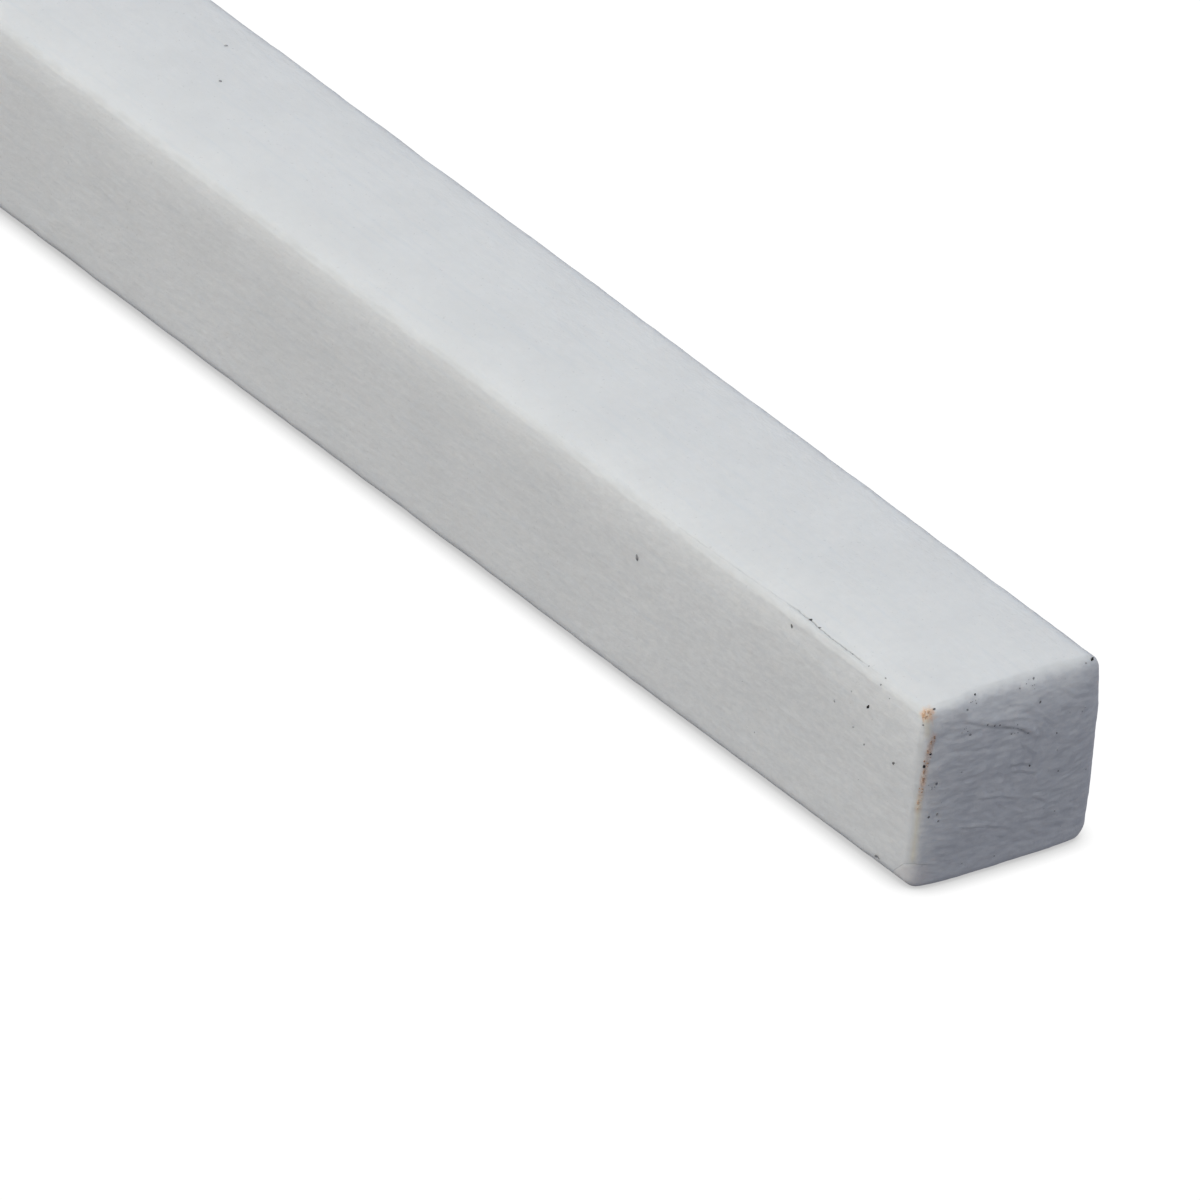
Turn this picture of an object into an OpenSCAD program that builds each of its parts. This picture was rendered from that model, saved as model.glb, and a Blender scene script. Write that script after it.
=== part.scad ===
// White compressed-charcoal drawing stick: one pressed bar of square section, lying on one long face.
// Millimetres. +X runs along the stick to its drawing end, +Z is up, and the origin is at the middle
// of the underside.

/* [Stick] */
// Width of the square section, which is also its height
side = 6.35; // [5:0.05:13]
// Length from end to end
length = 76.2; // [50:0.1:120]

/* [Edges] */
// Radius of the two long edges on top
top_edge_r = 0.45; // [0.1:0.05:1]
// Radius of the two long edges underneath
bottom_edge_r = 0.45; // [0.1:0.05:1]
// Radius all round the drawing end, at +X
drawing_end_r = 0.3; // [0.1:0.05:0.6]
// Radius all round the butt end, at -X
butt_end_r = 0.3; // [0.1:0.05:0.6]

/* [Hidden] */
half_side = side / 2;
half_length = length / 2;
round_fn = 64;

// A rectangle from [x0, y0] to [x1, y1] whose corners have the radii r, anticlockwise from [x0, y0].
module rounded_rectangle(x0, y0, x1, y1, r) {
    centres = [
        [x0 + r[0], y0 + r[0]],
        [x1 - r[1], y0 + r[1]],
        [x1 - r[2], y1 - r[2]],
        [x0 + r[3], y1 - r[3]]
    ];
    polygon([
        [x0, y0 + r[0]], [x0 + r[0], y0],
        [x1 - r[1], y0], [x1, y0 + r[1]],
        [x1, y1 - r[2]], [x1 - r[2], y1],
        [x0 + r[3], y1], [x0, y1 - r[3]]
    ]);
    for (i = [0:3])
        translate(centres[i])
            circle(r = r[i], $fn = round_fn);
}

// The square section, drawn with Y across the page and Z up it, swept along X.
module long_faces() {
    radii = [bottom_edge_r, bottom_edge_r, top_edge_r, top_edge_r];
    rotate([90, 0, 90])
        linear_extrude(height = length, center = true)
            rounded_rectangle(-half_side, 0, half_side, side, radii);
}

// The outline seen from the side, which rounds the top and bottom of both ends.
module side_outline() {
    radii = [butt_end_r, drawing_end_r, drawing_end_r, butt_end_r];
    rotate([90, 0, 0])
        linear_extrude(height = side, center = true)
            rounded_rectangle(-half_length, 0, half_length, side, radii);
}

// The outline seen from above, which rounds the left and right of both ends.
module top_outline() {
    radii = [butt_end_r, drawing_end_r, drawing_end_r, butt_end_r];
    linear_extrude(height = side)
        rounded_rectangle(-half_length, -half_side, half_length, half_side, radii);
}

// The whole stick is one pressed piece.
module stick() {
    color([0.88, 0.89, 0.89])
        intersection() {
            long_faces();
            side_outline();
            top_outline();
        }
}

stick();
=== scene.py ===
"""White compressed-charcoal drawing stick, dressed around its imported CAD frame.

One pressed bar of square section lies on a pale studio floor. The bar's surface is built here as real
geometry: softly rounded long edges, a sliver peeling along the top front edge, a smeared and flaked
cut end, and pressing ripples on every face. Grit and stained crumbs are separate small closed pieces.
Lengths in the mesh code are millimetres in the row frame; Blender gets them in metres.
"""

import itertools
import math

import bmesh
import bpy
import numpy as np
from mathutils import Matrix, Vector


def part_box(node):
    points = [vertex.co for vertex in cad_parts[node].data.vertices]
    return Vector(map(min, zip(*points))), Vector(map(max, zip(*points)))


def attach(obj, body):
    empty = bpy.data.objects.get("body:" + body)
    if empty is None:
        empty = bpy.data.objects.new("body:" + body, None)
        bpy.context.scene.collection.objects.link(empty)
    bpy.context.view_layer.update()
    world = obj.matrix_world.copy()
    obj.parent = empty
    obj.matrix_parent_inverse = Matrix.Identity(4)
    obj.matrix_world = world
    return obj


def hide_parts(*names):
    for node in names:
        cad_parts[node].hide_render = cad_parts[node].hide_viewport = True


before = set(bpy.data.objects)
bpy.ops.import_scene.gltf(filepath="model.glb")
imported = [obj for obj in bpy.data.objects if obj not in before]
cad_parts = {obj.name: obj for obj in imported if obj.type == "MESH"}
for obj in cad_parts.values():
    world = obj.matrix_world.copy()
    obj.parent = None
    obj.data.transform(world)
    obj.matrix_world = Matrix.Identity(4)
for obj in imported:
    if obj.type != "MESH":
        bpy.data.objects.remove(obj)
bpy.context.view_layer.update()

MM = 0.001
LOW, HIGH = (np.array(corner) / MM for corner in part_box("stick"))
WIDTH, HEIGHT = HIGH[1] - LOW[1], HIGH[2] - LOW[2]
BODY = "root"

# Radii of the edges, in millimetres: both long edges on top, the two underneath, and all round each end.
TOP_EDGE_R = 0.45
BOTTOM_BACK_R = 0.55
BOTTOM_FRONT_R = 0.40
END_EDGE_R = 0.3


# -------- places, noise and falloffs

def measure(points):
    """Distances of points from the drawing end, from the front face and from the underside."""
    return HIGH[0] - points[:, 0], points[:, 1] - LOW[1], points[:, 2] - LOW[2]


def gradient_noise(points, size, seed):
    """Smooth noise of about -1 to 1 at points, with features of the given size along each axis."""
    scaled = points / np.asarray(size, float)
    cell = np.floor(scaled).astype(int)
    local = scaled - cell
    fade = local ** 3 * (local * (local * 6 - 15) + 10)
    table = np.random.RandomState(seed).normal(size=(32, 32, 32, 3))
    table /= np.linalg.norm(table, axis=3, keepdims=True)
    total = np.zeros(len(scaled))
    for corner in itertools.product((0, 1), repeat=3):
        slope = table[tuple(((cell + corner) & 31).T)]
        weight = np.prod(np.where(corner, fade, 1 - fade), axis=1)
        total += weight * np.einsum("ij,ij->i", slope, local - corner)
    return total * 1.5


def smooth(value, start, end):
    """0 before start and 1 after end, with a smooth ramp between; end may be below start."""
    t = np.clip((np.asarray(value, float) - start) / (end - start), 0, 1)
    return t * t * (3 - 2 * t)


def bell(value, width):
    """1 at zero, falling to nothing over about twice the width."""
    return np.exp(-(value / width) ** 2)


# -------- the stick's section and rings

def section_segments():
    """Straights and corners of the section, anticlockwise seen from +X, starting under its middle."""
    y0, y1, z0, z1 = LOW[1], HIGH[1], LOW[2], HIGH[2]
    rb, rf, rt = BOTTOM_BACK_R, BOTTOM_FRONT_R, TOP_EDGE_R
    middle = (y0 + y1) / 2
    return [
        ("line", (middle, z0), (y1 - rb, z0), (0, -1)),
        ("arc", (y1 - rb, z0 + rb), rb, -90),
        ("line", (y1, z0 + rb), (y1, z1 - rt), (1, 0)),
        ("arc", (y1 - rt, z1 - rt), rt, 0),
        ("line", (y1 - rt, z1), (y0 + rt, z1), (0, 1)),
        ("arc", (y0 + rt, z1 - rt), rt, 90),
        ("line", (y0, z1 - rt), (y0, z0 + rf), (-1, 0)),
        ("arc", (y0 + rf, z0 + rf), rf, 180),
        ("line", (y0 + rf, z0), (middle, z0), (0, -1)),
    ]


SEGMENTS = section_segments()
SEGMENT_LENGTHS = [
    math.dist(s[1], s[2]) if s[0] == "line" else s[2] * math.pi / 2 for s in SEGMENTS
]
SEGMENT_STARTS = np.concatenate([[0], np.cumsum(SEGMENT_LENGTHS)])
PERIMETER = SEGMENT_STARTS[-1]
TOP_FRONT = SEGMENT_STARTS[5]  # where the top face starts to turn down into the front face
ARC_LENGTH = SEGMENT_LENGTHS[5]


def section_at(distance):
    """Points and normals (y, z, normal y, normal z) at distances round the section."""
    distance = np.asarray(distance, float) % PERIMETER
    index = np.clip(np.searchsorted(SEGMENT_STARTS, distance, side="right") - 1, 0, len(SEGMENTS) - 1)
    out = np.zeros((len(distance), 4))
    for i, segment in enumerate(SEGMENTS):
        here = index == i
        along = distance[here] - SEGMENT_STARTS[i]
        if segment[0] == "line":
            start, end = np.array(segment[1]), np.array(segment[2])
            out[here, :2] = start + np.outer(along / SEGMENT_LENGTHS[i], end - start)
            out[here, 2:] = segment[3]
        else:
            centre, radius, first = segment[1:]
            angle = math.radians(first) + along / radius
            normal = np.stack([np.cos(angle), np.sin(angle)], axis=1)
            out[here, :2] = np.array(centre) + radius * normal
            out[here, 2:] = normal
    return out


def ring_distances(steps):
    """Distances round the section, at about one step size for each segment."""
    places = []
    for i, step in enumerate(steps):
        start, length = SEGMENT_STARTS[i], SEGMENT_LENGTHS[i]
        count = max(1, round(length / step))
        places.append(start + length * np.arange(count) / count)
    return np.concatenate(places)


class Surface:
    """Collects the vertices, normals and faces of one closed surface."""

    def __init__(self):
        self.points, self.normals, self.faces = [], [], []
        self.count = 0

    def add(self, points, normals):
        """Adds vertices and returns their indices."""
        self.points.append(points)
        self.normals.append(normals)
        first = self.count
        self.count += len(points)
        return np.arange(first, self.count)

    def join(self, ring_a, ring_b):
        """Quads between two rings with the same number of points."""
        next_a, next_b = np.roll(ring_a, -1), np.roll(ring_b, -1)
        self.faces.extend(np.stack([ring_a, next_a, next_b, ring_b], axis=1).tolist())

    def zip(self, ring_a, place_a, ring_b, place_b):
        """Triangles between two rings with different counts, matched by their places from 0 to 1."""
        i = j = 0
        ends_a = np.append(place_a[1:], 1.0)
        ends_b = np.append(place_b[1:], 1.0)
        while i < len(ring_a) or j < len(ring_b):
            a, b = ring_a[i % len(ring_a)], ring_b[j % len(ring_b)]
            if j >= len(ring_b) or (i < len(ring_a) and ends_a[i] <= ends_b[j]):
                self.faces.append([int(a), int(ring_a[(i + 1) % len(ring_a)]), int(b)])
                i += 1
            else:
                self.faces.append([int(a), int(ring_b[(j + 1) % len(ring_b)]), int(b)])
                j += 1


# -------- the peeling sliver on the top front edge

# Distance from the drawing end, and how far round the edge from the top face the crack runs (0 is where
# the top face starts to turn, ARC_LENGTH where the front face starts).
CRACK_PATH = [
    (0.7, 0.19), (1.3, 0.17), (3.0, 0.15), (4.0, 0.14), (5.2, 0.13), (6.2, 0.03), (7.0, 0.01),
    (8.6, 0.13), (10.4, 0.18), (12.0, 0.24), (14.0, 0.26),
]
CRACK_REST = 0.14  # the ring place that is moved onto the crack
STRIP_WIDTH = 0.9  # of the top face beside the crack, where the rings are finer


def crack_place(from_end):
    """How far round the top front edge the crack is, at a distance from the drawing end."""
    ends, places = zip(*CRACK_PATH)
    wander = 0.012 * np.sin(from_end * 9.1) + 0.009 * np.sin(from_end * 23.7 + 1.0)
    return np.interp(from_end, ends, places) + wander


def bend_to_crack(distance, from_end):
    """Slides ring points round the top front edge, so that one line of them lies on the crack."""
    there = smooth(from_end, 16.5, 14.0) * smooth(from_end, 0.5, 1.3)
    target = CRACK_REST + there * (crack_place(from_end) - CRACK_REST)
    local = distance - TOP_FRONT
    moved = np.interp(local, [-STRIP_WIDTH, CRACK_REST, ARC_LENGTH], [-STRIP_WIDTH, target, ARC_LENGTH])
    return TOP_FRONT + np.where((local > -STRIP_WIDTH) & (local < ARC_LENGTH), moved, local)


# -------- building the stick's skin

# Steps between the points of a ring, one for each segment of the section, in millimetres.
BODY_STEPS = (0.30, 0.12, 0.25, 0.08, 0.12, 0.035, 0.10, 0.10, 0.30)
END_STEPS = (0.07, 0.07, 0.07, 0.06, 0.06, 0.035, 0.06, 0.07, 0.07)
BUTT_STEPS = (0.20, 0.12, 0.16, 0.10, 0.12, 0.06, 0.12, 0.10, 0.20)
STRIP_LINES = 20
STRIP_STEP = STRIP_WIDTH / STRIP_LINES
DRAWING_END_GRID, BUTT_GRID = 0.05, 0.11

# Places along X where the rings along the bar get closer together, and the steps between rings.
FINER_FROM, FINEST_FROM = -9, 20
FAR_STEP, MIDDLE_STEP, NEAR_STEP = 0.35, 0.20, 0.12
END_ZONE = 0.72  # length of the finely divided stretch beside the drawing end's edge
END_ZONE_RINGS = 12

# Turns of the rings round the edges of the two ends, in degrees.
BUTT_TURNS = (90, 70, 50, 30, 15, 0)
DRAWING_END_TURNS = (12, 24, 36, 48, 60, 75, 90)


def top_face_steps(distances):
    """Adds finer lines on the strip of the top face beside its front edge, where the sliver peels."""
    strip = TOP_FRONT - STRIP_STEP * np.arange(STRIP_LINES, 0, -1)
    beside_strip = TOP_FRONT - STRIP_WIDTH - 0.03
    kept = distances[(distances < beside_strip) | (distances >= TOP_FRONT)]
    return np.sort(np.concatenate([kept, strip]))


def station(surface, x, distances, turn=0.0, sign=1, bend=False):
    """One ring of the stick at x; turn carries it round the end's edge, from 0 to 90 degrees."""
    if bend:
        distances = bend_to_crack(distances, HIGH[0] - x)
    ring = section_at(distances)
    inset = END_EDGE_R * (1 - math.cos(math.radians(turn)))
    points = np.empty((len(ring), 3))
    points[:, 0] = x + sign * END_EDGE_R * math.sin(math.radians(turn))
    points[:, 1:] = ring[:, :2] - inset * ring[:, 2:]
    normals = np.empty_like(points)
    normals[:, 0] = sign * math.sin(math.radians(turn))
    normals[:, 1:] = ring[:, 2:] * math.cos(math.radians(turn))
    return surface.add(points, normals)


def cap(surface, ring, places, x, sign, step):
    """A square grid that closes an end, zipped to the last ring."""
    gap = END_EDGE_R + 0.1
    y = np.linspace(LOW[1] + gap, HIGH[1] - gap, round((WIDTH - 2 * gap) / step) + 1)
    z = np.linspace(LOW[2] + gap, HIGH[2] - gap, round((HEIGHT - 2 * gap) / step) + 1)
    grid_y, grid_z = np.meshgrid(y, z)
    points = np.stack([np.full(grid_y.size, x), grid_y.ravel(), grid_z.ravel()], axis=1)
    normals = np.tile([float(sign), 0, 0], (len(points), 1))
    index = surface.add(points, normals).reshape(grid_y.shape)
    quads = np.stack([index[:-1, :-1], index[:-1, 1:], index[1:, 1:], index[1:, :-1]], axis=-1)
    quads = quads.reshape(-1, 4)
    middle = len(y) // 2
    edge = np.concatenate([
        index[0, middle:-1], index[:-1, -1], index[-1, :0:-1], index[:0:-1, 0], index[0, :middle],
    ])
    side = np.arange(len(edge)) / len(edge)
    if sign > 0:
        surface.faces.extend(quads.tolist())
        surface.zip(ring, places, edge, side)
    else:
        surface.faces.extend(quads[:, ::-1].tolist())
        surface.zip(edge, side, ring, places)


def add_butt(surface, butt, places):
    """The gridded butt end, its turned edge and one ring beyond; returns the last ring."""
    x_low = LOW[0] + END_EDGE_R
    last = station(surface, x_low, butt, BUTT_TURNS[0], sign=-1)
    cap(surface, last, places, LOW[0], -1, BUTT_GRID)
    for turn in BUTT_TURNS[1:]:
        ring = station(surface, x_low, butt, turn, sign=-1)
        surface.join(last, ring)
        last = ring
    ring = station(surface, x_low + 0.2, butt)
    surface.join(last, ring)
    return ring


def add_drawing_end(surface, near, places, last):
    """The fine stretch beside the drawing end, its turned edge and its gridded face."""
    x_high = HIGH[0] - END_EDGE_R
    for x in np.linspace(x_high - END_ZONE, x_high, END_ZONE_RINGS + 1)[1:]:
        ring = station(surface, x, near)
        surface.join(last, ring)
        last = ring
    for turn in DRAWING_END_TURNS:
        ring = station(surface, x_high, near, turn)
        surface.join(last, ring)
        last = ring
    cap(surface, last, places, HIGH[0], 1, DRAWING_END_GRID)


def build_skin():
    """The stick's undisturbed surface: rings along the bar, turned edges and gridded ends."""
    surface = Surface()
    body = top_face_steps(ring_distances(BODY_STEPS))
    near = ring_distances(END_STEPS)
    butt = ring_distances(BUTT_STEPS)
    body_place, near_place, butt_place = body / PERIMETER, near / PERIMETER, butt / PERIMETER
    x_first, x_near = LOW[0] + END_EDGE_R + 0.4, HIGH[0] - END_EDGE_R - END_ZONE
    zones = [
        (x_first, FINER_FROM, FAR_STEP), (FINER_FROM, FINEST_FROM, MIDDLE_STEP),
        (FINEST_FROM, x_near, NEAR_STEP),
    ]
    stations = np.concatenate([
        np.linspace(a, b, round((b - a) / step), endpoint=False) for a, b, step in zones
    ])

    ring = add_butt(surface, butt, butt_place)
    last = station(surface, stations[0], body, bend=True)
    surface.zip(ring, butt_place, last, body_place)
    for x in stations[1:]:
        ring = station(surface, x, body, bend=True)
        surface.join(last, ring)
        last = ring
    ring = station(surface, x_near, near)
    surface.zip(last, body_place, ring, near_place)
    add_drawing_end(surface, near, near_place, ring)
    return np.concatenate(surface.points), np.concatenate(surface.normals), surface.faces


# -------- relief of the skin

# Layers of noise as (height, size of the features along X, Y and Z, seed).
WAVES = [(0.016, (11, 6, 6), 1), (0.008, (4, 3, 3), 2)]
HAMMERED = [(0.0090, (1.2, 0.9, 0.55), 3), (0.0090, (0.50, 0.4, 0.26), 4)]
STREAKS = [(0.0040, (5.0, 0.35, 0.35), 5), (0.0045, (0.8, 0.6, 0.6), 6)]
EDGE_WANDER = [(0.020, (1.7, 4, 4), 7), (0.008, (0.5, 2, 2), 8)]
RIM_WANDER = [(0.018, (1, 0.9, 0.9), 12), (0.012, (0.5, 0.25, 0.25), 13)]

# The handled look of the surface fades between these two distances from the drawing end.
HANDLED_FROM, HANDLED_TO = 26, 6

KNOCK_DEPTH = 0.05
RESTING_WEAR = 0.006


def layered_noise(points, layers):
    return sum(height * gradient_noise(points, size, seed) for height, size, seed in layers)


def handled(points):
    """1 beside the drawing end, 0 on the far part of the bar."""
    return smooth(HIGH[0] - points[:, 0], HANDLED_FROM, HANDLED_TO)


def corner_weight(normals):
    """1 in the middle of a long rounded edge, 0 on the flats."""
    return (2 * normals[:, 1] * normals[:, 2]) ** 2


def pressing_relief(points, normals):
    """Broad waves, hammered mottling on the side faces and faint drawing streaks on top and underneath."""
    on_side, on_flat = np.abs(normals[:, 1]), np.abs(normals[:, 2])
    fine = layered_noise(points, HAMMERED) * on_side + layered_noise(points, STREAKS) * on_flat
    return layered_noise(points, WAVES) + (0.55 + 0.45 * handled(points)) * fine


# How deep the faces fall away beside an edge, and over what distance.
FRONT_SHOULDER_DEPTH, FRONT_SHOULDER_REACH = 0.17, 0.65
BACK_SHOULDER_DEPTH, BACK_SHOULDER_REACH = 0.03, 0.5
NO_SHOULDER = 9  # a distance from an edge at which nothing is left of its shoulder

CROWN_HEIGHT = 0.13
CROWN_MIDDLE = 0.58  # share of the way from the front face to the back face
CROWN_START = 6.0  # from the drawing end, where the crown has its full height
FACE_INSET = 0.01


def pillow(points, normals):
    """The top is crowned away from the drawing end, and the faces fall away softly beside the top edges."""
    from_end, across, up = measure(points)
    from_front_edge = np.maximum(across - TOP_EDGE_R, 0) + np.maximum(HEIGHT - up - TOP_EDGE_R, 0)
    from_front_edge = np.minimum(from_front_edge, NO_SHOULDER)
    front = FRONT_SHOULDER_DEPTH * np.exp(-from_front_edge / FRONT_SHOULDER_REACH)
    from_back = np.where(normals[:, 2] > 0.5, np.minimum(WIDTH - across, NO_SHOULDER), NO_SHOULDER)
    back = BACK_SHOULDER_DEPTH * np.exp(-np.maximum(from_back - TOP_EDGE_R, 0) / BACK_SHOULDER_REACH)
    off_middle = (across - WIDTH * CROWN_MIDDLE) / (WIDTH / 2)
    crown = CROWN_HEIGHT * normals[:, 2].clip(0) * (1 - off_middle ** 2)
    crown *= smooth(from_end, 0.0, CROWN_START)
    return -front - back + crown - FACE_INSET


def edge_relief(points, normals):
    """The long edges wander a little in and out, and carry small knocks."""
    knocks = smooth(gradient_noise(points, (0.9, 3, 3), 9), 0.55, 0.95)
    return corner_weight(normals) * (layered_noise(points, EDGE_WANDER) - KNOCK_DEPTH * knocks)


# Heights of the peeling sliver's groove, of its lifted lip and of the burr beyond it.
GROOVE_DEPTH, LIP_HEIGHT, BURR_HEIGHT = 0.050, 0.026, 0.038
HAIRLINE = 0.42  # how open the crack is where it is no more than a hairline


def crack_strength(from_end):
    """How open the crack is: widest 4 to 7 mm from the drawing end, fading and breaking up beyond."""
    open_part = smooth(from_end, 3.2, 4.2) * smooth(from_end, 7.4, 6.6)
    hairline = HAIRLINE * smooth(from_end, 1.4, 3.6) * smooth(from_end, 14.6, 11.5)
    broken = 0.60 + 0.40 * np.sin(from_end * 5.3 + 0.6) * np.sin(from_end * 2.1)
    ragged = 0.72 + 0.28 * np.sin(from_end * 11.7) * np.sin(from_end * 4.3 + 1.0)
    return np.clip((open_part + hairline * broken) * ragged, 0, 1)


def crack_offset(points):
    """Distance round the top front edge from the crack, positive towards the front face."""
    centre_y, centre_z = LOW[1] + TOP_EDGE_R, HIGH[2] - TOP_EDGE_R
    angle = np.arctan2(-(points[:, 1] - centre_y), points[:, 2] - centre_z)
    on_top = points[:, 1] > centre_y
    place = np.where(on_top, -(points[:, 1] - centre_y), TOP_EDGE_R * angle)
    return place - crack_place(HIGH[0] - points[:, 0])


def sliver_relief(points, normals):
    """The groove of the crack, and the lifted sliver between it and the front face."""
    from_end = HIGH[0] - points[:, 0]
    offset = crack_offset(points)
    nearby = (normals[:, 2] > -0.05) & (points[:, 1] < LOW[1] + 1.5)
    strength = crack_strength(from_end) * nearby
    groove = -GROOVE_DEPTH * strength * bell(offset, 0.024)
    lip = LIP_HEIGHT * strength * smooth(offset, 0.0, 0.045) * smooth(offset, 0.50, 0.10)
    burr = BURR_HEIGHT * smooth(from_end, 2.0, 3.0) * smooth(from_end, 8.5, 5.0)
    burr = burr * smooth(offset, 0.05, 0.2) * smooth(offset, 0.86, 0.46) * nearby
    burr = burr * (1 + 0.8 * gradient_noise(points, (0.7, 0.3, 0.3), 15))
    return groove + lip + burr


# -------- relief of the cut ends

# The smears swirl about a centre given as (distance from the front face, distance from the underside).
SWIRL_CENTRE, SWIRL_REACH, SWIRL_TURN = (3.7, 3.5), 1.5, 1.1
SMEAR_SLOPE = 0.33  # how fast the smears fall towards the back


def swirl(across, up, centre, reach, turn):
    """Coordinates turned about a centre, most at the centre and not at all beyond its reach."""
    dy, dz = across - centre[0], up - centre[1]
    angle = turn * bell(np.hypot(dy, dz), reach)
    return (centre[0] + dy * np.cos(angle) - dz * np.sin(angle),
            centre[1] + dy * np.sin(angle) + dz * np.cos(angle))


def smear_relief(points, seed):
    """Wavy drag marks and lumps that a blade left across a cut end, gentler beside its edges."""
    _, across, up = measure(points)
    from_edge = np.minimum(np.minimum(across, WIDTH - across), np.minimum(up, HEIGHT - up))
    across, up = swirl(across, up, SWIRL_CENTRE, SWIRL_REACH, SWIRL_TURN)
    bend = 0.22 * gradient_noise(points, (3, 1.7, 1.1), seed)
    smeared = np.stack([np.zeros_like(across), across, up + bend + SMEAR_SLOPE * across], axis=1)
    drag = layered_noise(smeared, [(0.024, (1, 0.8, 0.22), seed + 1), (0.024, (1, 0.38, 0.13), seed + 2)])
    lumps = 0.018 * gradient_noise(points, (3, 1.3, 0.9), seed + 3)
    lumps += 0.019 * gradient_noise(smeared, (1, 0.42, 0.30), seed + 4)
    return (drag + lumps) * (0.25 + 0.75 * smooth(from_edge, 0.15, 0.9))


def along_path(across, up, path):
    """Signed distance above a path across the end face, and the share of the way along it."""
    ys, zs = zip(*path)
    share = (across - ys[0]) / (ys[-1] - ys[0])
    return up - np.interp(across, ys, zs), share


def strip_mask(share, start=0.0, end=1.0, soft=0.12):
    """1 between two shares of the way along a path, with soft ends."""
    return smooth(share, start - soft, start + soft) * smooth(share, end + soft, end - soft)


# Paths across the drawing end as (distance from the front face, distance from the underside).
FLAKE_LIP = [(1.25, 5.66), (2.4, 5.21), (3.2, 4.92), (3.62, 4.66), (3.95, 4.34)]
SWIRL_LINES = [
    [(3.45, 4.22), (3.62, 4.06), (3.95, 3.72)],
    [(3.15, 3.36), (3.53, 3.27), (3.98, 3.06)],
    [(3.0, 3.62), (3.4, 3.58), (3.75, 3.46)],
    [(4.0, 2.25), (4.2, 2.12), (4.42, 1.95)],
    [(2.1, 2.75), (2.8, 2.62), (3.5, 2.32)],
    [(1.5, 1.88), (2.4, 1.70), (3.3, 1.32)],
]
# Pits as (distance from the front face, distance from the underside, radius, depth).
DENTS = [
    (3.80, 3.42, 0.07, 0.045), (1.94, 6.17, 0.05, 0.03), (4.06, 5.50, 0.06, 0.03),
    (3.43, 6.03, 0.07, 0.03), (1.53, 5.99, 0.06, 0.03), (3.98, 6.18, 0.05, 0.03),
    (1.59, 5.16, 0.06, 0.02), (2.12, 4.98, 0.06, 0.02), (3.06, 4.77, 0.07, 0.025),
    (3.64, 4.60, 0.08, 0.035), (4.64, 4.33, 0.05, 0.02), (4.85, 2.90, 0.06, 0.02),
    (0.53, 3.75, 0.06, 0.03), (0.36, 2.60, 0.06, 0.03), (0.68, 2.63, 0.05, 0.02),
    (5.81, 6.22, 0.06, 0.03),
]
TONGUE_HEIGHT, UNDERCUT_DEPTH, WRINKLE_HEIGHT = 0.052, 0.038, 0.040
WRINKLE_CENTRE, WRINKLE_REACH = (3.80, 4.50), 0.40
SWIRL_RIDGE, SWIRL_GROOVE = 0.034, 0.042


def flake_offset(points):
    """Distance above the ragged lip of the flake, and the share of the way along it."""
    _, across, up = measure(points)
    above, share = along_path(across, up, FLAKE_LIP)
    return above + 0.035 * gradient_noise(points, (1, 0.22, 0.5), 27), share


def flake_break(points, share):
    """Where along its lip the flake's undercut is open: it is broken up and gone near both ends."""
    ragged = smooth(gradient_noise(points, (1, 0.4, 2), 28), -0.5, 0.2)
    return strip_mask(share, 0.22, 0.90, 0.10) * (0.3 + 0.7 * ragged)


def flake_relief(points):
    """A raised tongue of smeared pigment with an undercut below its lip."""
    above, share = flake_offset(points)
    tongue = TONGUE_HEIGHT * smooth(above, -0.01, 0.05) * smooth(above, 0.55, 0.12) * strip_mask(share)
    undercut = -UNDERCUT_DEPTH * bell(above + 0.04, 0.06) * flake_break(points, share)
    return tongue, undercut


def drawing_end_relief(points):
    """Smears, the flaked tongue, wrinkles at its tip, swirl lines and pits of the drawing end."""
    _, across, up = measure(points)
    tongue, undercut = flake_relief(points)
    beside_tip = np.hypot(across - WRINKLE_CENTRE[0], (up - WRINKLE_CENTRE[1]) * 1.3)
    wrinkles = WRINKLE_HEIGHT * bell(beside_tip, WRINKLE_REACH)
    wrinkles = wrinkles * gradient_noise(points, (1, 0.16, 0.20), 26)
    relief = smear_relief(points, 20) + tongue + undercut + wrinkles
    for path in SWIRL_LINES:
        above, share = along_path(across, up, path)
        line = SWIRL_RIDGE * bell(above - 0.07, 0.07) - SWIRL_GROOVE * bell(above, 0.045)
        relief += strip_mask(share) * line
    for y, z, radius, depth in DENTS:
        relief -= depth * bell(np.hypot(across - y, up - z), radius)
    return relief


# The tan line on the drawing end, as (distance from the top face, distance from the front face).
STAIN_PATH = [
    (0.75, 0.42), (0.96, 0.38), (1.44, 0.25), (1.88, 0.17), (2.36, 0.13), (2.95, 0.08), (3.50, 0.02),
]
STAIN_RIDGE = 0.026
CORNER_GROOVE, CORNER_LIP = 0.012, 0.006


def stain_offset(points):
    """Distance from the tan line beside the end's front edge, and how much of it there is at each place."""
    from_end, across, _ = measure(points)
    from_top = HIGH[2] - points[:, 2]
    downs, places = zip(*STAIN_PATH)
    ragged = 0.03 * gradient_noise(points, (0.3, 0.3, 0.22), 30)
    offset = across - from_end - np.interp(from_top, downs, places) + ragged
    broken = smooth(gradient_noise(points, (2, 2, 0.28), 31), -0.35, 0.25)
    reach = smooth(from_top, 0.75, 1.0) * smooth(from_top, 3.75, 3.3) * smooth(from_end, 0.9, 0.5)
    reach *= smooth(from_top, 0.9, 2.0) * 0.35 + 0.20 + 0.45 * broken
    return offset, reach


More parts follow.
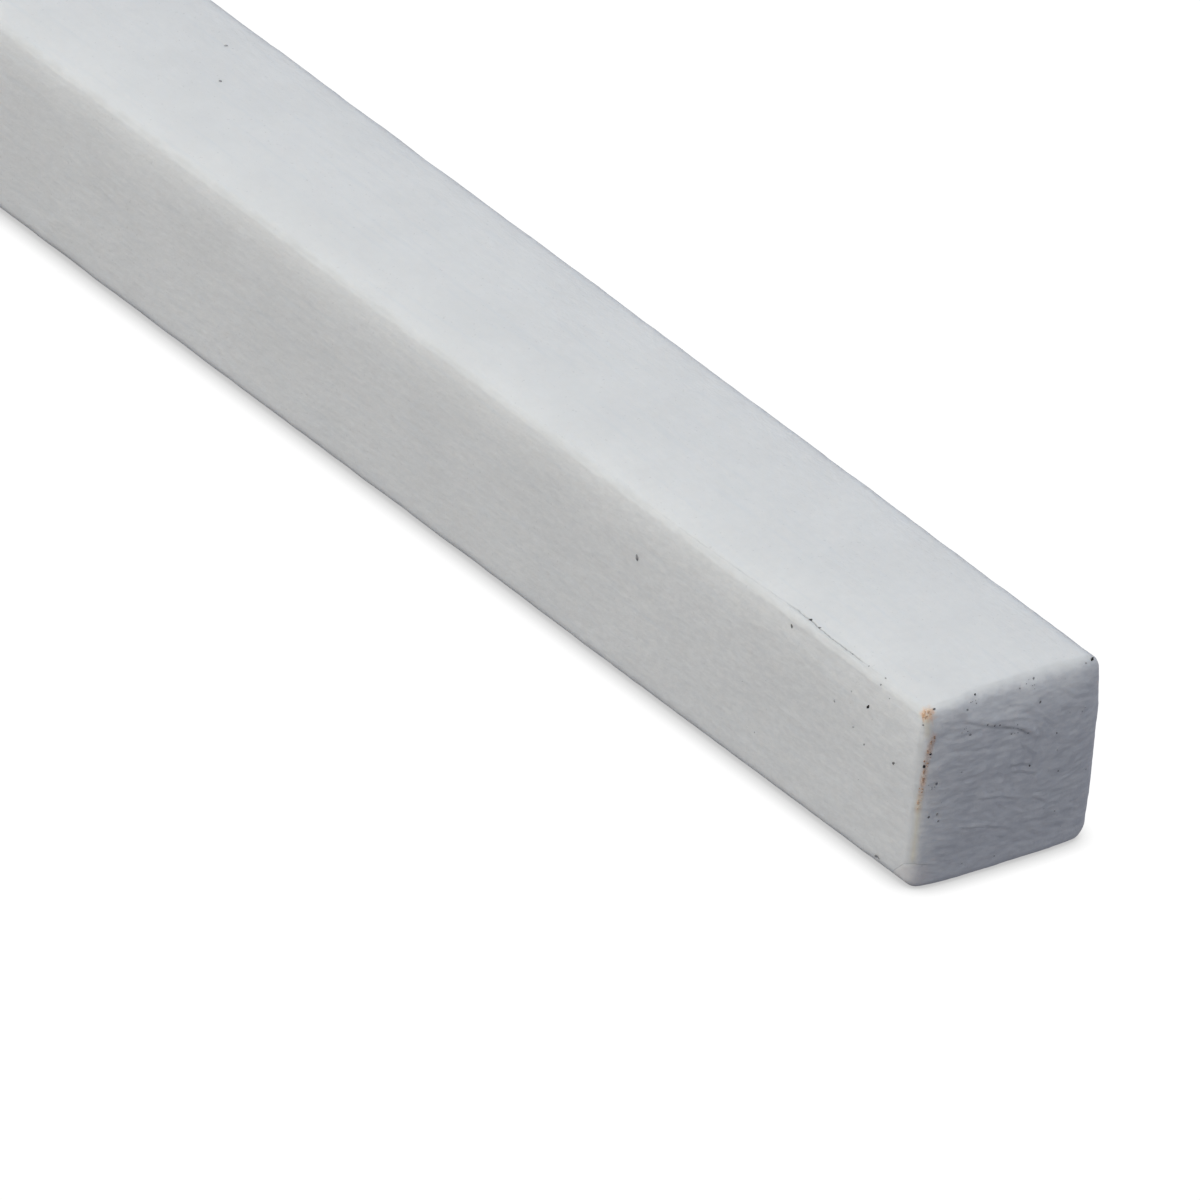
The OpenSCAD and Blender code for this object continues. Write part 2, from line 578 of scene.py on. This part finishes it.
def corner_crack(points):
    """Distance above the crack across the end's lower front corner, and how much of it there is."""
    from_end, across, up = measure(points)
    on_front = np.interp(from_end, [0.0, 0.3, 0.75, 1.1], [0.97, 0.82, 0.35, -0.2])
    on_end = np.interp(across, [0.0, 0.3, 0.56, 1.0], [0.97, 0.92, 0.86, 0.8])
    line = np.where(across < 0.15, on_front, on_end)
    reach = smooth(across, 0.75, 0.45) * smooth(from_end, 1.2, 0.7)
    return up - line, reach


# -------- the bar's departures from true

# How far the drawing end leans back at its top, front and back edges, and over what distances.
TOP_LEAN, FRONT_LEAN, BACK_LEAN = 0.66, 0.28, 0.24
TOP_LEAN_REACH, FRONT_LEAN_REACH, BACK_LEAN_REACH = 0.85, 0.55, 0.50
RIM_REACH = 0.8  # below the top rim, over which the front and back leans set in

END_SKEW = 0.24  # how much further the end reaches at the back face than at the front face
TOP_OVERHANG = 0.35  # how much further it reaches at the top than underneath
TOP_OVERHANG_AT_BACK = 0.04  # what is added to that at the back face
FOOT_INSET = 0.12  # how far its foot is drawn in
SKEW_LENGTH = 12  # from the drawing end, where the bar is true again
SPREAD_LENGTH = 34  # from the drawing end, where the bar has its full width
# How far the back and front faces stand out near the drawing end, and what is added to that far from it.
BACK_BULGE, BACK_SPREAD = 0.055, 0.055
FRONT_BULGE, FRONT_SPREAD = 0.08, 0.07


def end_lean(points):
    """How far the drawing end leans back beside its edges, most along the top."""
    _, across, up = measure(points)
    uneven = 1 + 0.20 * gradient_noise(points, (9, 1.3, 0.9), 25)
    below_rim = 1 - np.exp(-(HEIGHT - up) / RIM_REACH)
    front = FRONT_LEAN * np.exp(-across / FRONT_LEAN_REACH)
    back = BACK_LEAN * np.exp(-(WIDTH - across) / BACK_LEAN_REACH)
    return TOP_LEAN * uneven * np.exp(-(HEIGHT - up) / TOP_LEAN_REACH) + below_rim * (front + back)


def out_of_square(points):
    """The bar widens towards the butt, and its cut end leans out at the top and at the back."""
    from_end, across, up = measure(points)
    across, up = across / WIDTH, up / HEIGHT
    near = np.clip(1 - from_end / SKEW_LENGTH, 0, 1)
    far = np.clip(from_end / SPREAD_LENGTH, 0, 1)
    lean_out = END_SKEW * across + (TOP_OVERHANG + TOP_OVERHANG_AT_BACK * across) * up ** 2
    lean_out = lean_out + FOOT_INSET * smooth(up, 0.0, 0.35)
    bent = points.copy()
    bent[:, 0] += near * lean_out - near ** 2 * end_lean(points)
    bent[:, 1] += across * (BACK_BULGE + BACK_SPREAD * far)
    bent[:, 1] -= (1 - across) * (FRONT_BULGE * up + FRONT_SPREAD * far * (1 - up))
    return bent


def displace(points, normals):
    """The points moved by the whole relief along their normals, and by the bar's departures from true."""
    facing = normals[:, 0]
    to_end, to_butt = smooth(facing, 0.35, 0.95), smooth(-facing, 0.35, 0.95)
    sides = 1 - to_end - to_butt
    relief = (pressing_relief(points, normals) + pillow(points, normals)) * sides
    relief += edge_relief(points, normals)
    relief += sliver_relief(points, normals)
    relief += to_end * drawing_end_relief(points)
    offset, reach = stain_offset(points)
    relief += smooth(facing, 0.2, 0.6) * reach * STAIN_RIDGE * bell(offset, 0.06)
    relief += to_butt * smear_relief(points * (1, -1, 1), 40)
    rim = smooth(np.abs(facing), 0.15, 0.5) * smooth(np.abs(facing), 0.98, 0.8)
    relief += rim * layered_noise(points, RIM_WANDER)
    above, reach = corner_crack(points)
    relief += reach * (-CORNER_GROOVE * bell(above, 0.05) + CORNER_LIP * bell(above + 0.10, 0.07))
    resting = smooth(-normals[:, 2], 0.6, 0.95)
    wear = RESTING_WEAR * (1 + gradient_noise(points, (1.5, 1.2, 1.2), 14))
    relief = relief * (1 - resting) - resting * wear
    return out_of_square(points + normals * relief[:, None])


# -------- colour masks carried by the mesh

def corner_spot(points):
    """The ragged tan spot on the top front corner of the drawing end."""
    from_end, across, _ = measure(points)
    from_top = HIGH[2] - points[:, 2]
    distance = np.hypot((across - from_end - 0.03) * 0.75, (from_top - 0.26) * 1.25)
    ragged = 0.09 * gradient_noise(points, (0.22, 0.22, 0.2), 32)
    spot = smooth(distance + ragged, 0.42, 0.16) * smooth(from_end, 0.5, 0.25)
    broken = smooth(gradient_noise(points, (0.13, 0.13, 0.13), 33), -0.35, 0.25)
    return spot * (0.55 + 0.45 * broken)


def pale_edge(points):
    """The pale yellow stretches of the drawing end's front edge, above and below the tan line."""
    from_end, across, _ = measure(points)
    beside_edge, from_top = across - from_end, HIGH[2] - points[:, 2]
    upper = bell(beside_edge - 0.18, 0.12) * smooth(from_top, 0.3, 0.5) * smooth(from_top, 1.15, 0.8)
    lower = bell(beside_edge - 0.03, 0.10) * smooth(from_top, 2.6, 3.5) * smooth(from_top, 5.55, 5.2)
    return (upper + lower) * smooth(from_end, 0.7, 0.4)


def painted_crack_shade(points):
    """Painted shade in the crack beside the peeling sliver, darkest where the crack is most open."""
    shade_in_cracks = 0.9 * bell(crack_offset(points), 0.03) * crack_strength(HIGH[0] - points[:, 0])
    return np.clip(shade_in_cracks * (points[:, 2] > HIGH[2] - 0.6) * (points[:, 1] < LOW[1] + 1), 0, 1)


def wear_and_shade_edges(normals):
    """1 on the long edges and on the rims of both ends, greyed partly by wear and partly by painted shade
    over their highlights.
    """
    facing = np.abs(normals[:, 0])
    rims = smooth(facing, 0.1, 0.4) * smooth(facing, 0.95, 0.7)
    return np.clip(corner_weight(normals) + rims, 0, 1)


def mottling(points, normals):
    """How mottled the colour is: most on the drawing end, some on the sides, little on top."""
    on_drawing_end = smooth(normals[:, 0], 0.5, 0.95)
    strength = 0.08 + 0.17 * np.abs(normals[:, 1]) + 0.46 * on_drawing_end
    return strength * (0.5 + 0.5 * handled(points))


def surface_masks(points, normals):
    """Where the stains, the painted shade in the cracks and the greyed edges (wear and painted shade) are;
    a mask ending in _off is a distance from a line.
    """
    stain_off, stain_reach = stain_offset(points)
    flake_off, share = flake_offset(points)
    on_end_face = smooth(HIGH[0] - points[:, 0], 0.15, 0.05)
    corner_off, corner_reach = corner_crack(points)
    return {
        "mottled": mottling(points, normals), "wear_and_shade": wear_and_shade_edges(normals),
        "blob": corner_spot(points), "pale": pale_edge(points), "crack": painted_crack_shade(points),
        "stain_off": stain_off, "stain_reach": stain_reach,
        "flake_off": flake_off + 0.04, "flake_reach": on_end_face * flake_break(points, share),
        "corner_off": corner_off, "corner_reach": corner_reach,
        "under_corner": corner_reach * smooth(corner_off, 0.0, -0.1),
    }


def make_mesh(name, points, faces, masks, material):
    """A smooth-shaded mesh object in metres, with its masks as point attributes."""
    mesh = bpy.data.meshes.new(name)
    mesh.from_pydata((points * MM).tolist(), [], faces)
    mesh.polygons.foreach_set("use_smooth", [True] * len(mesh.polygons))
    for mask, values in masks.items():
        mesh.attributes.new(mask, "FLOAT", "POINT").data.foreach_set("value", values.astype(np.float32))
    mesh.materials.append(material)
    mesh.update()
    obj = bpy.data.objects.new(name, mesh)
    bpy.context.scene.collection.objects.link(obj)
    return obj


# -------- materials

class Nodes:
    """Short names for building one material's node tree."""

    def __init__(self, name):
        self.material = bpy.data.materials.new(name)
        self.material.use_nodes = True
        self.tree = self.material.node_tree
        self.shader = self.tree.nodes["Principled BSDF"]
        self.place = self.tree.nodes.new("ShaderNodeTexCoord").outputs["Object"]

    def link(self, source, target):
        self.tree.links.new(source, target)

    def noise(self, size, detail=2.0, stretch=(1, 1, 1)):
        """Noise from 0 to 1 with features of the given size in millimetres."""
        mapping = self.tree.nodes.new("ShaderNodeMapping")
        mapping.inputs["Scale"].default_value = [1 / (size * MM * s) for s in stretch]
        self.link(self.place, mapping.inputs["Vector"])
        noise = self.tree.nodes.new("ShaderNodeTexNoise")
        noise.inputs["Scale"].default_value = 1.0
        noise.inputs["Detail"].default_value = detail
        self.link(mapping.outputs["Vector"], noise.inputs["Vector"])
        return noise.outputs["Fac"]

    def ramp(self, value, low, high, to_low=0.0, to_high=1.0):
        """A smooth ramp from to_low at low to to_high at high; low may be above high."""
        node = self.tree.nodes.new("ShaderNodeMapRange")
        node.interpolation_type = "SMOOTHSTEP"
        self.link(value, node.inputs["Value"])
        limits = {"From Min": low, "From Max": high, "To Min": to_low, "To Max": to_high}
        for name, number in limits.items():
            node.inputs[name].default_value = number
        return node.outputs["Result"]

    def mask(self, name):
        """One of the mesh's point attributes."""
        node = self.tree.nodes.new("ShaderNodeAttribute")
        node.attribute_name = name
        return node.outputs["Fac"]

    def line(self, name, width):
        """1 on the line that NAME_off measures from, 0 beyond width mm of it, times NAME_reach."""
        distance = self.math("ABSOLUTE", self.mask(name + "_off"), 0.0)
        return self.times(self.ramp(distance, width, 0.0), self.mask(name + "_reach"))

    def math(self, operation, a, b):
        node = self.tree.nodes.new("ShaderNodeMath")
        node.operation = operation
        for socket, value in zip(node.inputs, (a, b)):
            if isinstance(value, (int, float)):
                socket.default_value = value
            else:
                self.link(value, socket)
        return node.outputs["Value"]

    def times(self, a, b):
        return self.math("MULTIPLY", a, b)

    def mix(self, factor, a, b):
        """Colour a where the factor is 0 and b where it is 1; each is a tuple or a socket."""
        node = self.tree.nodes.new("ShaderNodeMix")
        node.data_type = "RGBA"
        self.link(factor, node.inputs["Factor"])
        for socket, value in ((node.inputs[6], a), (node.inputs[7], b)):
            if isinstance(value, tuple):
                socket.default_value = (*value, 1.0)
            else:
                self.link(value, socket)
        return node.outputs[2]

    def bump(self, height, distance, below=None):
        """A bumped normal, with the bump's distance in millimetres."""
        node = self.tree.nodes.new("ShaderNodeBump")
        node.inputs["Distance"].default_value = distance * MM
        self.link(height, node.inputs["Height"])
        if below is not None:
            self.link(below, node.inputs["Normal"])
        return node.outputs["Normal"]


PIGMENT_SHADES = (0.870, 0.873, 0.873), (0.900, 0.903, 0.903)
MOTTLE_GREY = (0.70, 0.71, 0.725)
STREAK_BLUE = (0.80, 0.83, 0.86)
FLECK_GREY = (0.60, 0.60, 0.60)
# greys the long edges and end rims: partly wear, partly painted shade that tones down their highlights
WEAR_AND_SHADE_GREY = (0.76, 0.765, 0.76)
UNDER_CORNER_PINK = (0.80, 0.76, 0.75)
SPOT_TANS = (0.84, 0.47, 0.26), (0.93, 0.66, 0.44)
LINE_TANS = (0.55, 0.34, 0.22), (0.90, 0.66, 0.50)
PALE_YELLOW = (0.85, 0.79, 0.64)
# painted shade for the crack beside the sliver, the flake's undercut and the corner's crack
CRACK_SHADE_GREY = (0.20, 0.20, 0.21)


def pigment_colour(n):
    """Clouded, mottled and streaked white, greyer on the long edges and end rims: partly wear, partly
    painted shade over their highlights.
    """
    cloud = n.ramp(n.noise(2.6, 3.0), 0.35, 0.65)
    colour = n.mix(cloud, *PIGMENT_SHADES)
    mottle = n.ramp(n.noise(0.14, 3.0, stretch=(1.8, 3, 1)), 0.34, 0.66)
    colour = n.mix(n.times(mottle, n.mask("mottled")), colour, MOTTLE_GREY)
    streak = n.ramp(n.noise(0.22, 3.0, stretch=(18, 1, 1)), 0.50, 0.78)
    colour = n.mix(n.times(streak, 0.35), colour, STREAK_BLUE)
    fleck = n.ramp(n.noise(0.10, 1.0), 0.70, 0.78)
    colour = n.mix(n.times(fleck, 0.30), colour, FLECK_GREY)
    # partly wear, partly painted shade that tones down the highlights on the rounded edges
    wear_and_shade = n.times(n.mask("wear_and_shade"), n.ramp(n.noise(0.7, 3.0), 0.30, 0.70, 0.25, 0.75))
    return n.mix(wear_and_shade, colour, WEAR_AND_SHADE_GREY)


def stained(n, colour):
    """The colour with the tan and yellow marks of the drawing end over it."""
    colour = n.mix(n.times(n.mask("under_corner"), 0.5), colour, UNDER_CORNER_PINK)
    spot_tone = n.mix(n.ramp(n.noise(0.10, 2.0), 0.35, 0.65), *SPOT_TANS)
    colour = n.mix(n.times(n.mask("blob"), 0.85), colour, spot_tone)
    line_tone = n.mix(n.ramp(n.noise(0.06, 2.0), 0.35, 0.65), *LINE_TANS)
    colour = n.mix(n.times(n.line("stain", 0.17), 0.85), colour, line_tone)
    return n.mix(n.times(n.mask("pale"), 0.62), colour, PALE_YELLOW)


def shaded_in_cracks(n, colour):
    """The colour with painted shade in the crack beside the sliver, under the flake's lip and along the
    corner's crack.
    """
    # painted shade: the cracks and the flake's undercut are darkened in the colour
    shade_in_cracks = n.times(n.mask("crack"), 0.85)
    shade_in_cracks = n.math("MAXIMUM", shade_in_cracks, n.times(n.line("flake", 0.08), 0.34))
    shade_in_cracks = n.math("MAXIMUM", shade_in_cracks, n.times(n.line("corner", 0.035), 0.32))
    return n.mix(shade_in_cracks, colour, CRACK_SHADE_GREY)


def white_charcoal():
    """Pressed white pigment: waxy and slightly translucent, with fine grain, drag lines and stains."""
    n = Nodes("white_charcoal")
    n.link(shaded_in_cracks(n, stained(n, pigment_colour(n))), n.shader.inputs["Base Color"])
    n.link(n.ramp(n.noise(0.5, 3.0), 0.3, 0.7, 0.52, 0.66), n.shader.inputs["Roughness"])
    n.shader.inputs["Subsurface Weight"].default_value = 0.6
    n.shader.inputs["Subsurface Radius"].default_value = (1.0, 0.95, 0.90)
    n.shader.inputs["Subsurface Scale"].default_value = 0.75 * MM
    n.shader.inputs["Specular IOR Level"].default_value = 0.30

    drag = n.bump(n.noise(0.12, 2.0, stretch=(6, 1, 1)), 0.0070)
    dimples = n.bump(n.noise(0.32, 2.0, stretch=(1.6, 1, 1)), 0.0260, below=drag)
    grain = n.bump(n.noise(0.07, 2.0), 0.0040, below=dimples)
    n.link(grain, n.shader.inputs["Normal"])
    return n.material


def grit_material():
    """Charcoal dust caught in the surface, from near black to mid grey by each grain's shade."""
    n = Nodes("charcoal_grit")
    patch = n.ramp(n.noise(0.03, 2.0), 0.3, 0.7)
    dark = n.mix(patch, (0.012, 0.012, 0.013), (0.045, 0.043, 0.042))
    n.link(n.mix(n.mask("shade"), dark, (0.60, 0.60, 0.61)), n.shader.inputs["Base Color"])
    n.link(n.ramp(n.noise(0.02, 2.0), 0.3, 0.7, 0.6, 0.9), n.shader.inputs["Roughness"])
    n.link(n.bump(n.noise(0.015, 2.0), 0.004), n.shader.inputs["Normal"])
    return n.material


def crumb_material():
    """Tan crumbs of stained pigment along the front edge of the drawing end."""
    n = Nodes("tan_crumb")
    patch = n.ramp(n.noise(0.05, 3.0), 0.35, 0.65)
    light = n.mix(patch, (0.80, 0.50, 0.30), (0.92, 0.68, 0.49))
    n.link(n.mix(n.mask("shade"), light, (0.45, 0.27, 0.18)), n.shader.inputs["Base Color"])
    n.link(n.ramp(n.noise(0.03, 2.0), 0.3, 0.7, 0.55, 0.8), n.shader.inputs["Roughness"])
    n.link(n.bump(n.noise(0.02, 2.0), 0.004), n.shader.inputs["Normal"])
    return n.material


# -------- grit and crumbs

GRAIN_SINK = 0.06  # how far a grain's middle stands off the skin, as a share of its size
GRAIN_LUMPS = 0.55


def grain_ball():
    """Points and triangles of a small ball that every grain is shaped from."""
    ball = bmesh.new()
    bmesh.ops.create_icosphere(ball, subdivisions=2, radius=1.0)
    shape = np.array([v.co[:] for v in ball.verts])
    triangles = np.array([[v.index for v in f.verts] for f in ball.faces])
    ball.free()
    return shape, triangles


def grain_cloud(name, grains, seed, material, skin):
    """One mesh of small irregular closed grains, each half sunk in the skin at the nearest place."""
    base, normals, surface = skin
    rng = np.random.RandomState(seed)
    shape, triangles = grain_ball()
    all_points, all_faces, shades = [], [], []
    for i, (place, size, long_way, shade) in enumerate(grains):
        nearest = np.argmin(((base - place) ** 2).sum(axis=1))
        up = Vector(normals[nearest])
        spin = Matrix.Rotation(rng.uniform(0, math.tau), 3, "Z") @ Matrix.Diagonal((long_way, 1, 0.6))
        turned = up.to_track_quat("Z", "Y").to_matrix() @ spin
        lumps = GRAIN_LUMPS * gradient_noise(shape + 7.3 * i, (0.9, 0.9, 0.9), 50)
        grain = shape * (1 + lumps)[:, None] @ np.array(turned.transposed()) * size / 2
        all_points.append(grain + surface[nearest] + normals[nearest] * size * GRAIN_SINK)
        all_faces.append(triangles + len(shape) * i)
        shades.append(np.full(len(shape), shade))
    masks = {"shade": np.concatenate(shades)}
    piece = make_mesh(name, np.concatenate(all_points), np.concatenate(all_faces).tolist(), masks, material)
    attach(piece, BODY)


# Specks of grit as (two distances that place it, size, how many times longer than wide, shade from 0 black
# to 1 grey). On the front face the distances are from the drawing end and from the top face.
FRONT_GRIT = [
    (13.95, 1.91, 0.10, 1.9, 0.55), (2.68, 1.27, 0.09, 1.7, 0.0), (6.65, 0.50, 0.07, 1.8, 0.3),
    (1.21, 2.41, 0.08, 1.4, 0.35), (1.57, 6.0, 0.08, 1.5, 0.4), (1.45, 5.9, 0.06, 1.5, 0.5),
    (4.23, 1.83, 0.07, 1.2, 0.8), (3.29, 2.25, 0.06, 1.2, 0.8), (2.76, 2.53, 0.05, 1.4, 0.6),
    (2.34, 0.26, 0.05, 1.4, 0.7),
]
# On the top face the distances are from the drawing end and from the front face.
TOP_GRIT = [
    (6.22, 0.44, 0.09, 1.8, 0.1), (4.02, 0.30, 0.08, 2.0, 0.15), (4.95, 0.32, 0.05, 1.6, 0.4),
    (2.4, 0.30, 0.05, 1.5, 0.6), (5.75, 0.40, 0.05, 2.2, 0.35), (5.3, 0.34, 0.04, 2.0, 0.5),
    (4.45, 0.31, 0.05, 2.2, 0.4), (3.2, 0.30, 0.04, 1.6, 0.7), (39.7, 3.45, 0.09, 1.4, 0.6),
    (41.4, 4.8, 0.08, 1.3, 0.8),
]
# On the drawing end they are from the front face and from the top face.
END_GRIT = [
    (1.94, 0.08, 0.055, 1.5, 0.0), (3.98, 0.16, 0.06, 1.6, 0.5), (4.06, 0.85, 0.07, 1.3, 0.3),
    (3.43, 0.32, 0.06, 1.2, 0.7), (1.53, 0.36, 0.06, 1.5, 0.5), (0.53, 0.16, 0.06, 1.8, 0.2),
    (6.08, 0.02, 0.09, 1.8, 0.0), (5.81, 0.12, 0.05, 1.4, 0.6), (4.64, 2.03, 0.06, 1.3, 0.5),
    (4.85, 3.46, 0.06, 1.3, 0.5), (0.31, 1.54, 0.06, 1.8, 0.0), (0.13, 1.94, 0.085, 1.2, 0.0),
    (0.07, 0.59, 0.05, 1.3, 0.4), (0.53, 2.60, 0.08, 1.4, 0.4), (0.36, 3.74, 0.07, 1.5, 0.3),
    (0.67, 3.72, 0.06, 1.5, 0.5), (0.69, 3.95, 0.06, 1.4, 0.5), (1.59, 1.19, 0.07, 1.4, 0.5),
    (2.15, 0.98, 0.05, 1.3, 0.4), (2.38, 1.08, 0.05, 1.3, 0.4), (2.62, 1.17, 0.05, 1.3, 0.4),
    (3.06, 1.58, 0.06, 1.3, 0.6), (3.80, 2.93, 0.07, 1.3, 0.2), (3.64, 1.74, 0.06, 1.6, 0.4),
]
# Where fine dust gathers on the drawing end, as (distance from the front face, distance from the top face).
DUSTY_SPOTS = [(1.75, 0.22), (3.95, 0.28), (1.45, 0.95), (3.25, 1.50), (0.50, 2.70)]
DUST_SIZES = (0.02, 0.04)
STRAY_GRAINS = 12  # on each of the drawing end and the front face
GRAINS_IN_A_SPOT = 6
CORNER_CRUMBS, LINE_CRUMBS = 12, 34


def on_front(from_end, from_top):
    return np.array([HIGH[0] - from_end, LOW[1], HIGH[2] - from_top])


def on_top(from_end, across):
    return np.array([HIGH[0] - from_end, LOW[1] + across, HIGH[2]])


def on_end(across, from_top):
    return np.array([HIGH[0], LOW[1] + across, HIGH[2] - from_top])


def grit_grains():
    """Grains as (place, size, how many times longer than wide, shade from 0 black to 1 grey)."""
    grains = []
    for place_on, specks in ((on_front, FRONT_GRIT), (on_top, TOP_GRIT), (on_end, END_GRIT)):
        grains += [(place_on(a, b), size, long_way, shade) for a, b, size, long_way, shade in specks]
    rng = np.random.RandomState(71)
    for _ in range(STRAY_GRAINS):
        place = on_end(rng.uniform(0.3, 6.0), rng.uniform(0.1, 6.0))
        grains.append((place, rng.uniform(*DUST_SIZES), 1.6, rng.uniform(0.7, 1.0)))
        place = on_front(rng.uniform(0.5, 9.0), rng.uniform(0.5, 6.0))
        grains.append((place, rng.uniform(*DUST_SIZES), 1.8, rng.uniform(0.7, 1.0)))
    for across, from_top in DUSTY_SPOTS:
        for _ in range(GRAINS_IN_A_SPOT):
            place = on_end(across + rng.normal(0, 0.14), from_top + rng.normal(0, 0.08))
            grains.append((place, rng.uniform(*DUST_SIZES), 1.4, rng.uniform(0.5, 0.9)))
    return grains


def crumb_grains():
    """Tan crumbs: a cluster at the top front corner and a scatter down the edge, darker in places."""
    rng = np.random.RandomState(61)
    grains = []
    for _ in range(CORNER_CRUMBS):
        place = on_end(rng.normal(0.22, 0.12), abs(rng.normal(0.24, 0.07)))
        place = place - (abs(rng.normal(0, 0.05)), 0, 0)
        grains.append((place, rng.uniform(0.035, 0.075), 1.5, rng.uniform(0, 0.25)))
    downs, places = zip(*STAIN_PATH)
    for _ in range(LINE_CRUMBS):
        down = rng.uniform(0.9, 3.5)
        place = on_end(np.interp(down, downs, places) + rng.normal(0, 0.035), down)
        grains.append((place, rng.uniform(0.020, 0.050), 1.6, rng.uniform(0.1, 1.0)))
    return grains


# -------- camera, light and floor

# Where the camera looks from, in degrees, and how it leans.
AZIMUTH, ELEVATION, ROLL = 51.44, 31.21, 3.72
LENS, SENSOR = 1500.0, 36.0
FRAME_WIDTH = 35.18  # millimetres across the picture at the stick
LEFT_OF_CORNER, ABOVE_CORNER = 9.165, 8.662  # the picture's middle from the end's lower front corner


def add_camera():
    """A very long lens at the photograph's angle, framing the near part of the stick."""
    azimuth, elevation, roll = math.radians(AZIMUTH), math.radians(ELEVATION), math.radians(ROLL)
    across = math.cos(elevation)
    back = Vector((math.sin(azimuth) * across, -math.cos(azimuth) * across, math.sin(elevation)))
    level = Vector((math.cos(azimuth), math.sin(azimuth), 0))
    upright = back.cross(level)
    right = level * math.cos(roll) + upright * math.sin(roll)
    up = back.cross(right)
    near_corner = Vector((HIGH[0], LOW[1], LOW[2])) * MM
    centre = near_corner - right * LEFT_OF_CORNER * MM + up * ABOVE_CORNER * MM
    data = bpy.data.cameras.new("camera")
    data.lens, data.sensor_width = LENS, SENSOR
    data.clip_start, data.clip_end = 0.01, 50.0
    camera = bpy.data.objects.new("camera", data)
    place = centre + back * (FRAME_WIDTH * MM * LENS / SENSOR)
    camera.matrix_world = Matrix.Translation(place) @ Matrix((right, up, back)).transposed().to_4x4()
    bpy.context.scene.collection.objects.link(camera)
    bpy.context.scene.camera = camera


ROOM_LIGHT = (0.268, 0.281, 0.333)
FLOOR_LIGHT = (0.135, 0.142, 0.165)  # what the white floor throws back on the stick

# Lamps: strength, colour, and where they are from the stick.
KEY = (1.57, (1.0, 0.972, 0.855), (-0.12, -0.67, 0.68))
OVERHEAD = (0.23, (0.80, 1.04, 1.16), (0.0, 0.0, 1.0))
FILL = (0.42, (1.0, 1.0, 1.0), (-0.15, 0.95, 0.30))
LAMP_SPREAD = 60  # degrees

FLOOR_HALF = 4.0  # metres from the middle of the floor to its sides
CONTACT_REACH = 0.9  # millimetres of floor that the contact shadow covers
# glow of the floor right beside the stick (the painted contact shadow) and in the open
CONTACT_BRIGHTNESS, OPEN_BRIGHTNESS = 0.54, 1.04


def camera_ray_switch(tree):
    """1 for what the camera sees itself, 0 for the light that falls on the stick."""
    return tree.nodes.new("ShaderNodeLightPath").outputs["Is Camera Ray"]


def add_world():
    """Plain white to look at, and a soft, slightly cool room light on everything else."""
    world = bpy.data.worlds.new("studio")
    world.use_nodes = True
    tree = world.node_tree
    room = tree.nodes["Background"]
    room.inputs["Color"].default_value = (*ROOM_LIGHT, 1)
    seen = tree.nodes.new("ShaderNodeBackground")
    seen.inputs["Color"].default_value = (1, 1, 1, 1)
    mix = tree.nodes.new("ShaderNodeMixShader")
    tree.links.new(camera_ray_switch(tree), mix.inputs["Fac"])
    tree.links.new(room.outputs[0], mix.inputs[1])
    tree.links.new(seen.outputs[0], mix.inputs[2])
    tree.links.new(mix.outputs[0], tree.nodes["World Output"].inputs["Surface"])
    bpy.context.scene.world = world


def add_lamp(name, strength, colour, towards):
    """A far, broad and soft light, like a large diffuser."""
    data = bpy.data.lights.new(name, "SUN")
    data.energy, data.color, data.angle = strength, colour, math.radians(LAMP_SPREAD)
    lamp = bpy.data.objects.new(name, data)
    lamp.rotation_euler = Vector(towards).to_track_quat("Z", "Y").to_euler()
    bpy.context.scene.collection.objects.link(lamp)


def floor_material():
    """White paper that glows for the camera, with a painted contact shadow beside the stick, and that
    throws its own soft light back.
    """
    n = Nodes("floor")
    n.tree.nodes.remove(n.shader)
    contact = n.tree.nodes.new("ShaderNodeAmbientOcclusion")
    contact.samples = 16
    contact.inputs["Distance"].default_value = CONTACT_REACH * MM
    # ambient occlusion dims the floor's glow beside the stick: a painted contact shadow
    light = n.ramp(contact.outputs["AO"], 0.15, 0.97, CONTACT_BRIGHTNESS, OPEN_BRIGHTNESS)
    seen = n.tree.nodes.new("ShaderNodeEmission")
    n.link(light, seen.inputs["Strength"])
    bounced = n.tree.nodes.new("ShaderNodeEmission")
    bounced.inputs["Color"].default_value = (*FLOOR_LIGHT, 1)
    mix = n.tree.nodes.new("ShaderNodeMixShader")
    n.link(camera_ray_switch(n.tree), mix.inputs["Fac"])
    n.link(bounced.outputs[0], mix.inputs[1])
    n.link(seen.outputs[0], mix.inputs[2])
    n.link(mix.outputs[0], n.tree.nodes["Material Output"].inputs["Surface"])
    return n.material


def add_floor():
    """A wide pale sheet that the stick lies on."""
    z = LOW[2] * MM
    corners = [(x * FLOOR_HALF, y * FLOOR_HALF, z) for x, y in ((-1, -1), (1, -1), (1, 1), (-1, 1))]
    mesh = bpy.data.meshes.new("floor")
    mesh.from_pydata(corners, [], [(0, 1, 2, 3)])
    mesh.materials.append(floor_material())
    floor = bpy.data.objects.new("floor", mesh)
    bpy.context.scene.collection.objects.link(floor)


# -------- the scene

def add_stick():
    """The dressed stick with its grit and crumbs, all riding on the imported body."""
    base_points, base_normals, faces = build_skin()
    skin_points = displace(base_points, base_normals)
    masks = surface_masks(base_points, base_normals)
    stick = make_mesh("stick_skin", skin_points, faces, masks, white_charcoal())
    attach(stick, BODY)
    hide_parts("stick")
    skin = (base_points, base_normals, skin_points)
    grain_cloud("grit", grit_grains(), 60, grit_material(), skin)
    grain_cloud("edge_crumbs", crumb_grains(), 62, crumb_material(), skin)


add_camera()
add_world()
add_lamp("key", *KEY)
add_lamp("overhead", *OVERHEAD)
add_lamp("fill", *FILL)
add_floor()
bpy.context.scene.view_settings.view_transform = "Standard"
add_stick()
